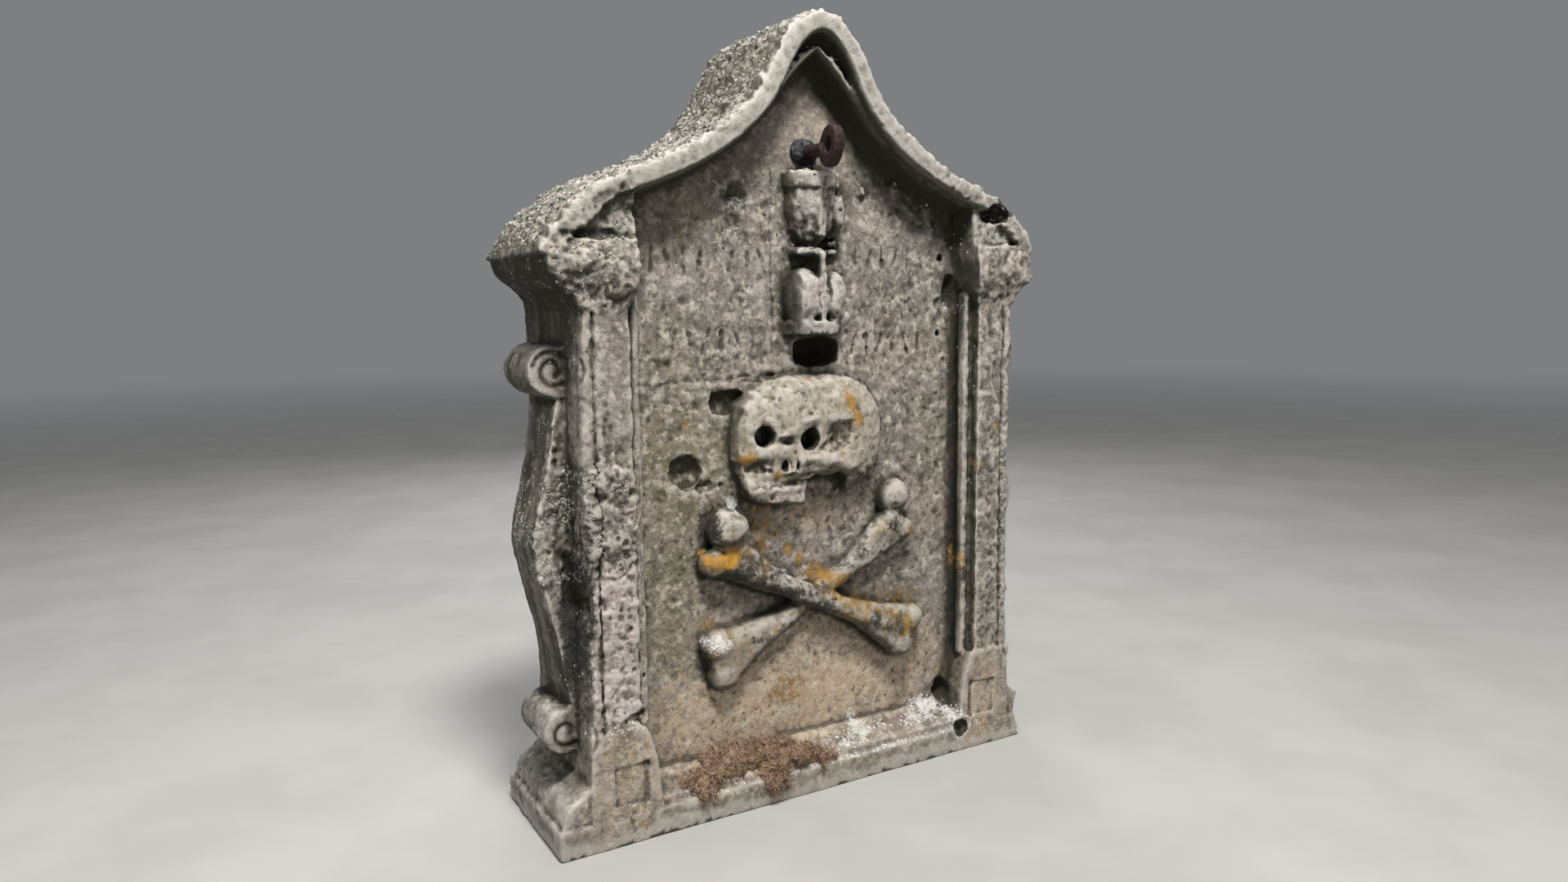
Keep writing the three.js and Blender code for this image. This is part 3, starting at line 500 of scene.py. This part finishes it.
class Finish:
    """A material whose nodes are laid one over another."""

    def __init__(self, name):
        self.material = bpy.data.materials.new(name)
        self.material.use_nodes = True
        self.tree = self.material.node_tree
        self.shader = self.tree.nodes["Principled BSDF"]
        self.place = self.node("ShaderNodeTexCoord").outputs["Object"]

    def node(self, kind, **inputs):
        made = self.tree.nodes.new(kind)
        for key, value in inputs.items():
            self.set(made, key.replace("_", " "), value)
        return made

    def set(self, made, key, value):
        socket = made.inputs[key]
        if isinstance(value, bpy.types.NodeSocket):
            self.tree.links.new(value, socket)
        else:
            socket.default_value = value

    def noise(self, scale, detail=4.0, roughness=0.6, distortion=0.0, shift=None):
        place = self.place
        if shift is not None:
            moved = self.node("ShaderNodeVectorMath")
            self.tree.links.new(place, moved.inputs[0])
            moved.inputs[1].default_value = (shift, 1.7 * shift, -0.6 * shift)
            place = moved.outputs[0]
        made = self.node("ShaderNodeTexNoise", Vector=place, Scale=scale, Detail=detail,
                         Roughness=roughness, Distortion=distortion)
        return made.outputs["Fac"]

    def streaked(self, across, along):
        """Noise drawn out into upright streaks."""
        stretched = self.node("ShaderNodeMapping", Vector=self.place, Scale=(across, across, along))
        return self.node("ShaderNodeTexNoise", Vector=stretched.outputs[0], Scale=1.0, Detail=6.0,
                         Roughness=0.7).outputs["Fac"]

    def spots(self, scale, feature="F1", output="Distance"):
        made = self.node("ShaderNodeTexVoronoi", Vector=self.place, Scale=scale)
        made.feature = feature
        return made.outputs[output]

    def kept(self, name):
        made = self.node("ShaderNodeAttribute")
        made.attribute_name = name
        return made.outputs["Fac"]

    def ramp(self, value, low, high, bottom=0.0, top=1.0):
        made = self.node("ShaderNodeMapRange")
        made.interpolation_type = "SMOOTHSTEP"
        for socket, number in zip(made.inputs, (value, low, high, bottom, top)):
            self.set(made, socket.name, number)
        return made.outputs["Result"]

    def sum(self, a, b, operation="ADD"):
        made = self.tree.nodes.new("ShaderNodeMath")
        made.operation = operation
        for socket, value in zip(made.inputs, (a, b)):
            if isinstance(value, bpy.types.NodeSocket):
                self.tree.links.new(value, socket)
            else:
                socket.default_value = value
        return made.outputs[0]

    def times(self, a, b):
        return self.sum(a, b, "MULTIPLY")

    def bands(self, value, *stops):
        """A colour for each stretch of a value: pairs of position and colour."""
        made = self.node("ShaderNodeValToRGB", Fac=value)
        marks = made.color_ramp.elements
        while len(marks) < len(stops):
            marks.new(0.5)
        for mark, (position, colour) in zip(marks, stops):
            mark.position = position
            mark.color = paint(colour)
        return made.outputs["Color"]

    def over(self, under, upper, cover, blend="MIX"):
        """One colour laid over another by a cover of 0 to 1."""
        made = self.tree.nodes.new("ShaderNodeMix")
        made.data_type = "RGBA"
        made.blend_type = blend
        for key, value in ((0, cover), (6, under), (7, upper)):
            if isinstance(value, bpy.types.NodeSocket):
                self.tree.links.new(value, made.inputs[key])
            else:
                made.inputs[key].default_value = value if key == 0 else paint(value)
        return made.outputs[2]

    def bump(self, height, distance, strength=1.0, under=None):
        made = self.node("ShaderNodeBump", Height=height, Distance=distance, Strength=strength)
        if under is not None:
            self.tree.links.new(under, made.inputs["Normal"])
        return made.outputs["Normal"]

    def done(self, colour, roughness, normal, **constants):
        self.set(self.shader, "Base Color", colour)
        self.set(self.shader, "Roughness", roughness)
        self.set(self.shader, "Normal", normal)
        for key, value in constants.items():
            self.shader.inputs[key.replace("_", " ")].default_value = value
        return self.material


def sandstone_stains_and_painted_shade():
    """Grey sandstone under its stains, with painted shade and highlights: mottling first, then washes,
    painted highlights and shade, lichens and crusts over it.
    """
    f = Finish("sandstone_stains_and_painted_shade")
    blotch, mottle = f.noise(21, 6, 0.68, 0.4), f.noise(66, 6, 0.72, shift=3.0)
    speck, grain = f.noise(150, 4, 0.7, shift=7.0), f.noise(420, 3, 0.6)
    rough, shelter_shade, crease_shade, ridge = f.kept("rough"), f.kept("shelter_shade"), f.kept("crease_shade"), f.kept("ridge")
    coarse, crumbs = f.noise(60, 5, 0.75, shift=2.0), f.noise(210, 4, 0.75, shift=4.0)
    edge = f.sum(f.times(f.sum(coarse, -0.5), 1.7), f.times(f.sum(crumbs, -0.5), 1.6))
    patchy = f.ramp(rough, 0.0, 0.6, 0.25, 1.0)

    def cover(name, low, high, most):
        """How much a painted patch covers, broken up at its edges."""
        return f.ramp(f.sum(f.kept(name), edge), low, high, 0.0, most)

    colour = f.bands(blotch, (0.32, "#645e57"), (0.46, "#7c756e"), (0.56, "#8b847c"), (0.7, "#a09890"))
    colour = f.over(colour, "#7d7654", cover("olive", 0.1, 0.9, 0.5))
    colour = f.over(colour, "#c6b095", cover("tan", 0.1, 0.9, 0.8))
    colour = f.over(colour, "#a29287", f.ramp(f.noise(9, 4, shift=11.0), 0.5, 0.68, 0.0, 0.4))
    dark_spots = f.ramp(f.noise(27, 8, 0.76, shift=5.0), 0.53, 0.62, 0.0, 0.6)
    colour = f.over(colour, "#4f4a42", f.times(dark_spots, patchy))
    pale_spots = f.ramp(f.noise(52, 6, 0.7, shift=9.0), 0.52, 0.6, 0.0, 0.75)
    colour = f.over(colour, "#c0b8a8", f.times(pale_spots, patchy))
    dark_specks = f.ramp(f.noise(125, 6, 0.75, shift=13.0), 0.56, 0.64, 0.0, 0.6)
    colour = f.over(colour, "#45413a", f.times(dark_specks, patchy))
    colour = f.over(colour, f.bands(speck, (0.32, "#6c6c6c"), (0.5, "#b8b8b8"), (0.68, "#ffffff")), 0.5,
                    "SOFT_LIGHT")
    height = f.node("ShaderNodeSeparateXYZ", Vector=f.place).outputs["Z"]
    pale = f.bands(mottle, (0.36, "#6f6a62"), (0.46, "#a59b88"), (0.64, "#c0b7a8"))
    pale = f.over(pale, f.bands(mottle, (0.36, "#696561"), (0.48, "#96918c"), (0.64, "#bab6b1")),
                  f.ramp(height, 0.66, 0.72))
    colour = f.over(colour, pale, f.times(f.kept("carved"), 0.65))
    dots = f.times(f.ramp(f.spots(58), 0.16, 0.3, 1.0, 0.0), f.ramp(coarse, 0.44, 0.56))
    colour = f.over(colour, "#4a463f", f.times(f.times(dots, f.kept("carved")), 0.8))
    pits = f.times(f.ramp(f.spots(118), 0.1, 0.24, 1.0, 0.0), f.ramp(blotch, 0.42, 0.6))
    colour = f.over(colour, "#34312b", f.times(pits, 0.6))
    bones = f.kept("bones")
    stained = f.ramp(f.noise(36, 7, 0.75, shift=15.0), 0.42, 0.54, 0.15, 0.9)
    colour = f.over(colour, "#403c31", f.times(bones, stained))
    yellowed = f.ramp(f.noise(24, 6, 0.7, shift=17.0), 0.5, 0.6, 0.0, 0.8)
    colour = f.over(colour, "#a58236", f.times(bones, yellowed))
    smooth_band = f.bands(mottle, (0.36, "#6f6c5d"), (0.5, "#98948a"), (0.66, "#b2aea4"))
    colour = f.over(colour, smooth_band, f.times(f.kept("cornice"), 0.75))
    pink = f.bands(speck, (0.35, "#a3948c"), (0.55, "#cdbfb8"), (0.7, "#e6dcd8"))
    colour = f.over(colour, pink, cover("pink", 0.35, 0.85, 0.8))
    # Painted highlight on the small ridges and painted shade in the small hollows.
    colour = f.over(colour, "#c6c0b8", f.ramp(ridge, 0.15, 1.2, 0.0, 0.5))
    colour = f.over(colour, "#2c2820", f.ramp(ridge, -0.1, -1.0, 0.0, 0.7))

    facing = f.node("ShaderNodeSeparateXYZ", Vector=f.node("ShaderNodeNewGeometry").outputs["Normal"])
    # Painted shade on the faces that turn downwards, under the overhangs.
    colour = f.over(colour, "#2b2a1d", f.ramp(facing.outputs["Z"], -0.12, -0.6, 0.0, 0.8))
    # Painted shade on the faces turned towards -X, broken into upright streaks of dark stain and growing
    # stronger with height.
    streaks = f.streaked(34, 2.2)
    side = f.times(f.ramp(facing.outputs["X"], -0.5, -0.85), f.ramp(streaks, 0.36, 0.62, 0.35, 0.95))
    colour = f.over(colour, "#3b382b", f.times(side, f.ramp(height, 0.1, 0.26, 0.3, 1.0)))
    # Painted shade on the upper part of the left side, under the overhang of the roof.
    eaves_shade = f.times(f.ramp(height, 0.66, 0.8), f.ramp(height, 0.85, 0.835))
    eaves_shade = f.times(eaves_shade, f.ramp(facing.outputs["X"], -0.25, -0.6))
    colour = f.over(colour, "#211f16", f.times(eaves_shade, 0.8))
    # Painted shade in the hollows and creases, darker where more of the sky is hidden.
    colour = f.over(colour, "#2a281c", f.ramp(shelter_shade, 0.1, 0.5, 0.0, 0.9))
    colour = f.over(colour, "#17150f", f.ramp(crease_shade, 0.22, 0.62, 0.0, 0.9))
    gold = f.bands(f.sum(f.times(f.kept("golden"), 0.4), f.times(speck, 0.6)), (0.4, "#7a6743"),
                   (0.65, "#987233"), (0.9, "#c48f2b"))
    colour = f.over(colour, gold, cover("golden", 0.45, 0.95, 0.9))
    black = f.bands(speck, (0.4, "#1d1b19"), (0.65, "#45403b"))
    colour = f.over(colour, black, cover("black", 0.45, 0.85, 0.9))
    white = f.bands(speck, (0.35, "#aeaca8"), (0.6, "#e2e0dd"))
    colour = f.over(colour, white, cover("white", 0.55, 0.95, 0.85))

    normal = f.bump(mottle, 0.004, 0.4)
    normal = f.bump(speck, 0.002, 0.4, normal)
    normal = f.bump(grain, 0.0008, 0.4, normal)
    return f.done(colour, f.ramp(speck, 0.3, 0.7, 0.8, 0.96), normal, Specular_IOR_Level=0.3)


def rusted_iron():
    f = Finish("rusted_iron")
    broad, scale, fine = f.noise(70, 4), f.noise(260, 5, 0.7), f.noise(900, 3)
    colour = f.bands(scale, (0.35, "#17100f"), (0.5, "#2c1b16"), (0.64, "#4a2c20"), (0.78, "#6b4632"))
    colour = f.over(colour, "#251a1a", f.ramp(broad, 0.45, 0.62, 0.0, 0.7))
    normal = f.bump(scale, 0.0012, 0.6)
    normal = f.bump(fine, 0.0005, 0.5, normal)
    return f.done(colour, f.ramp(scale, 0.3, 0.7, 0.55, 0.85), normal, Metallic=0.25)


def dull_lead():
    f = Finish("dull_lead")
    broad, fine = f.noise(90, 5, 0.65), f.noise(420, 4)
    colour = f.bands(broad, (0.36, "#121315"), (0.52, "#25272a"), (0.68, "#484c51"))
    colour = f.over(colour, "#7d8083", f.ramp(fine, 0.6, 0.75, 0.0, 0.5))
    normal = f.bump(broad, 0.002, 0.6)
    normal = f.bump(fine, 0.0008, 0.5, normal)
    return f.done(colour, f.ramp(fine, 0.3, 0.7, 0.5, 0.8), normal, Metallic=0.2)


def crumbly_lichen():
    f = Finish("crumbly_lichen")
    tone, fine = f.kept("tone"), f.noise(520, 4, 0.7)
    colour = f.bands(tone, (0.0, "#3b3933"), (0.2, "#6f6d66"), (0.5, "#9b9992"), (0.8, "#c3c2bd"),
                     (1.0, "#dddbd4"))
    colour = f.over(colour, "#8d8a6c", f.ramp(f.noise(30, 3), 0.5, 0.68, 0.0, 0.45))
    colour = f.over(colour, f.bands(fine, (0.3, "#686868"), (0.7, "#ffffff")), 0.5, "SOFT_LIGHT")
    return f.done(colour, 0.95, f.bump(fine, 0.001, 0.6), Specular_IOR_Level=0.2)


def dry_moss():
    f = Finish("dry_moss")
    tone, fine, broad = f.kept("tone"), f.noise(300, 5, 0.7), f.noise(40, 4)
    colour = f.bands(tone, (0.0, "#4c3b31"), (0.4, "#7d6353"), (0.7, "#a38974"), (1.0, "#c7b29c"))
    colour = f.over(colour, "#8a7650", f.ramp(broad, 0.52, 0.66, 0.0, 0.6))
    colour = f.over(colour, f.bands(fine, (0.3, "#606060"), (0.7, "#ffffff")), 0.5, "SOFT_LIGHT")
    return f.done(colour, 0.97, f.bump(fine, 0.002, 0.8), Specular_IOR_Level=0.15)


# Growth on the stone

def lump_shapes(count):
    """A few irregular crumbs of twenty faces each."""
    shapes = []
    for _ in range(count):
        bm = bmesh.new()
        bmesh.ops.create_icosphere(bm, subdivisions=1, radius=1.0)
        for vert in bm.verts:
            vert.co *= rng.uniform(0.65, 1.2)
        mesh = bpy.data.meshes.new("crumb")
        bm.to_mesh(mesh)
        bm.free()
        shapes.append(mesh)
    return shapes


def gathered(name, shapes, seats, tones):
    """One piece from many small shapes, each with its own seat and tone."""
    bm = bmesh.new()
    shade = []
    for seat, tone in zip(seats, tones):
        one = shapes[int(rng.integers(len(shapes)))].copy()
        one.transform(seat)
        bm.from_mesh(one)
        shade += [tone] * len(one.vertices)
        bpy.data.meshes.remove(one)
    mesh = bpy.data.meshes.new(name)
    bm.to_mesh(mesh)
    bm.free()
    piece = placed(name, mesh)
    skin = Skin(piece)
    skin.points[:, 2] = np.maximum(skin.points[:, 2], 0)
    skin.write()
    skin.keep("tone", np.array(shade))
    return piece


def seats_on(stone, weight_of, count, sizes, flat=(0.5, 0.9), sink=0.2):
    """Seats spread over the stone's faces, more of them where the weight is high, each sunk in the face."""
    mesh = stone.data
    faces = len(mesh.polygons)
    centres, outs, areas = np.empty(faces * 3), np.empty(faces * 3), np.empty(faces)
    mesh.polygons.foreach_get("center", centres)
    mesh.polygons.foreach_get("normal", outs)
    mesh.polygons.foreach_get("area", areas)
    centres, outs = centres.reshape(-1, 3), outs.reshape(-1, 3)
    weight = areas * weight_of(centres, outs)
    chosen = rng.choice(faces, count, p=weight / weight.sum())
    tree = BVHTree.FromObject(stone, bpy.context.evaluated_depsgraph_get())
    seats = []
    for i in chosen:
        size = rng.uniform(*sizes)
        spin = Matrix.Rotation(rng.uniform(0, 2 * math.pi), 4, "Z")
        shape = Matrix.Diagonal((size * rng.uniform(0.8, 1.3), size, size * rng.uniform(*flat), 1))
        jog = Vector(rng.uniform(-0.004, 0.004, 3))
        spot, out = tree.find_nearest(Vector(centres[i]) + jog)[:2]
        turn = out.to_track_quat("Z", "X").to_matrix().to_4x4()
        seats.append(Matrix.Translation(spot - out * sink * size) @ turn @ spin @ shape)
    return seats


def roof_weight(centres, outs):
    """Lichen on the roof, in patches, kept off its front edge."""
    patches = ramp(soft_noise(centres, 0.05, 3, 21), -0.45, 0.3)
    on_roof = ramp(outs[:, 2], 0.12, 0.5) * ramp(centres[:, 2], 0.835, 0.87)
    return on_roof * (0.12 + patches) * ramp(centres[:, 1], -0.124, -0.1)


def wall_weight(centres, outs):
    """Lichen on the left pilaster, its capital and the edge of its console, and a little on the right."""
    x, z = centres[:, 0] / MM, centres[:, 2] / MM
    patches = ramp(soft_noise(centres, 0.035, 3, 22), 0.0, 0.4)
    left = ((x < -300) & (z > 180) & (centres[:, 1] < 0)).astype(float)
    plate = ((x < -306) & (x > -400) & (z > 385) & (z < 560)) * 2.5
    capital = ((x < -296) & (z > 780) & (z < 960)) * 0.7
    edge = ((x < -395) & (z > 380) & (z < 620)) * 2.0
    right = ((x > 300) & (z > 200)) * 0.12
    return (0.2 * left + plate + capital + edge + right) * patches * (outs[:, 1] < 0.3)


def crust_weight(centres, outs):
    """Thick white crust on the sill and the lower bones."""
    low = (centres[:, 2] < WHITE_FLAKES_TOP) * (outs[:, 2] > -0.3)
    return painted(centres, WHITE_CRUST, soft_noise(centres, 0.02, 2, 23)) ** 2 * low


def make_lichens(stone, material):
    """The flakes that stand up from the stone, gathered by place into three pieces."""
    crumbs = lump_shapes(12)
    seats = seats_on(stone, roof_weight, ROOF_FLAKES, (0.0012, 0.0042), flat=(0.2, 0.42), sink=0.1)
    dark = rng.random(len(seats)) < 0.5
    tones = np.where(dark, rng.normal(0.12, 0.08, len(seats)), rng.normal(0.42, 0.14, len(seats)))
    roof = gathered("roof_lichen", crumbs, seats, np.clip(tones, 0, 1))
    seats = seats_on(stone, wall_weight, WALL_FLAKES, (0.001, 0.0034), flat=(0.2, 0.42), sink=0.1)
    wall = gathered("wall_lichen", crumbs, seats, np.clip(rng.normal(0.34, 0.14, len(seats)), 0, 1))
    seats = seats_on(stone, crust_weight, WHITE_FLAKES, (0.0012, 0.0034), flat=(0.3, 0.55))
    crust = gathered("white_crust", crumbs, seats, np.clip(rng.normal(0.97, 0.08, len(seats)), 0, 1))
    for piece in (roof, wall, crust):
        finished(piece, material)


def strand_weight(centres, outs):
    """Strands lie all over the heap, but not behind it or near the ground."""
    return (outs[:, 1] < 0.4) * (centres[:, 2] > 0.02)


def make_moss(material):
    """The dry clump: a heap of mounds under a mat of short dead strands."""
    bm = bmesh.new()
    for x, y, z, half_width, half_depth, half_height in MOUNDS:
        shape = Matrix.Translation((x * MM, y * MM, z * MM)) @ Matrix.Diagonal(
            (half_width * MM, half_depth * MM, half_height * MM, 1))
        bmesh.ops.create_icosphere(bm, subdivisions=5, radius=1.0, matrix=shape)
    mesh = bpy.data.meshes.new("moss_heap")
    bm.to_mesh(mesh)
    bm.free()
    heap = placed("moss_heap", mesh)
    recast(heap, MOSS_GRAIN)
    skin = Skin(heap)
    skin.points = skin.averaged(skin.points, 3)
    lift = 11 * soft_noise(skin.points, 0.04, 3, 31) + 5 * soft_noise(skin.points, 0.011, 3, 32)
    skin.points += skin.facing() * (lift * MM)[:, None]
    skin.points[:, 2] = np.maximum(skin.points[:, 2], 0.001)
    skin.write()
    skin.keep("tone", np.clip(0.4 + 0.35 * soft_noise(skin.points, 0.012, 3, 33), 0, 1))
    finished(heap, material)

    strands = []
    for bend in (-0.5, -0.2, 0.25, 0.55):
        bm = bmesh.new()
        bmesh.ops.create_cone(bm, segments=3, radius1=0.06, radius2=0.03, depth=2.0, cap_ends=True)
        long_edges = [e for e in bm.edges if abs(e.verts[0].co.z - e.verts[1].co.z) > 1]
        bmesh.ops.subdivide_edges(bm, edges=long_edges, cuts=2)
        for vert in bm.verts:
            vert.co.x += bend * (vert.co.z ** 2 - 0.5)
        bmesh.ops.rotate(bm, verts=bm.verts, matrix=Matrix.Rotation(math.pi / 2, 3, "Y"))
        strand = bpy.data.meshes.new("strand")
        bm.to_mesh(strand)
        bm.free()
        strands.append(strand)
    seats = seats_on(heap, strand_weight, MOSS_STRANDS, (0.006, 0.015), flat=(0.7, 1.0), sink=0.16)
    mat = gathered("moss_strands", strands, seats, np.clip(rng.normal(0.62, 0.22, len(seats)), 0, 1))
    finished(mat, material)


# Iron and lead

def make_iron(material):
    """The forged eye, with the scale and dents of rust."""
    eye = merged_copy("iron_eye", "forged_eye")
    recast(eye, IRON_GRAIN)
    skin = Skin(eye)
    skin.points = skin.averaged(skin.points, 5)
    lift = 0.7 * soft_noise(skin.points, 0.014, 3, 41) + 0.35 * soft_noise(skin.points, 0.004, 2, 42)
    skin.points += skin.facing() * (lift * MM)[:, None]
    skin.write()
    finished(eye, material, "iron_eye")


def make_lead(material):
    """The lead that holds the eye, lumpy where it stands out of its socket."""
    plug = merged_copy("lead_plug", "poured_lead")
    recast(plug, LEAD_GRAIN)
    skin = Skin(plug)
    skin.points = skin.averaged(skin.points, 3)
    lift = 2.4 * soft_noise(skin.points, 0.012, 3, 51) + 0.6 * soft_noise(skin.points, 0.004, 2, 52)
    skin.points += skin.facing() * (lift * ramp(-skin.points[:, 1], 0.071, 0.076) * MM)[:, None]
    skin.write()
    finished(plug, material, "lead_plug")


# Studio

def studio_floor():
    bm = bmesh.new()
    bmesh.ops.create_circle(bm, cap_ends=True, radius=14, segments=96)
    mesh = bpy.data.meshes.new("floor")
    bm.to_mesh(mesh)
    bm.free()
    floor = placed("floor", mesh)
    f = Finish("pale_floor")
    away = f.node("ShaderNodeVectorMath", Vector=f.place)
    away.operation = "LENGTH"
    colour = f.bands(f.noise(3, 3), (0.4, "#a9a7a3"), (0.6, "#b0aeaa"))
    f.set(f.shader, "Base Color", colour)
    f.set(f.shader, "Roughness", 0.9)
    f.set(f.shader, "Alpha", f.ramp(away.outputs["Value"], 2.5, 13, 1.0, 0.0))
    mesh.materials.append(f.material)


def lamp(name, spot, aim, size, power, colour=(1, 1, 1)):
    light = bpy.data.lights.new(name, "AREA")
    light.shape = "DISK"
    light.size = size
    light.energy = power
    light.color = colour
    thing = bpy.data.objects.new(name, light)
    thing.location = spot
    thing.rotation_euler = (Vector(aim) - Vector(spot)).to_track_quat("-Z", "Y").to_euler()
    bpy.context.scene.collection.objects.link(thing)


def studio_light():
    world = bpy.data.worlds.new("soft_sky")
    world.use_nodes = True
    world.node_tree.nodes["Background"].inputs["Color"].default_value = (0.80, 0.82, 0.85, 1)
    world.node_tree.nodes["Background"].inputs["Strength"].default_value = 0.26
    bpy.context.scene.world = world
    lamp("key", (-0.5, -1.5, 3.4), (0, 0, 0.6), 0.7, 150, (1.0, 0.99, 0.97))
    lamp("top", (-0.6, 0.2, 3.6), (0, 0, 0.9), 1.4, 30)
    lamp("side", (-3.2, -1.0, 1.9), (0, 0, 0.6), 1.6, 20, (0.93, 0.96, 1.0))
    lamp("back", (1.2, 3.0, 2.2), (0, 0, 0.6), 1.8, 40, (0.97, 0.98, 1.0))


def camera():
    """The camera at the photo's angle."""
    turn, tilt, roll = (math.radians(a) for a in (CAMERA_TURN, CAMERA_TILT, CAMERA_ROLL))
    back = Vector((math.sin(turn) * math.cos(tilt), -math.cos(turn) * math.cos(tilt), math.sin(tilt)))
    right = (-back).cross(Vector((0, 0, 1))).normalized()
    up = right.cross(-back)
    across = right * math.cos(roll) + up * math.sin(roll)
    upward = up * math.cos(roll) - right * math.sin(roll)
    lens = bpy.data.cameras.new("view")
    lens.sensor_width = CAMERA_SENSOR
    lens.lens = CAMERA_LENS
    thing = bpy.data.objects.new("view", lens)
    thing.matrix_world = Matrix.Translation(CAMERA_SPOT) @ Matrix(
        (across, upward, back)).transposed().to_4x4()
    bpy.context.scene.collection.objects.link(thing)
    bpy.context.scene.camera = thing


camera()
studio_light()
studio_floor()
stone = make_stone()
finished(stone, sandstone_stains_and_painted_shade(), "headstone")
make_lichens(stone, crumbly_lichen())
make_moss(dry_moss())
make_iron(rusted_iron())
make_lead(dull_lead())
bpy.context.scene.view_settings.view_transform = "Standard"
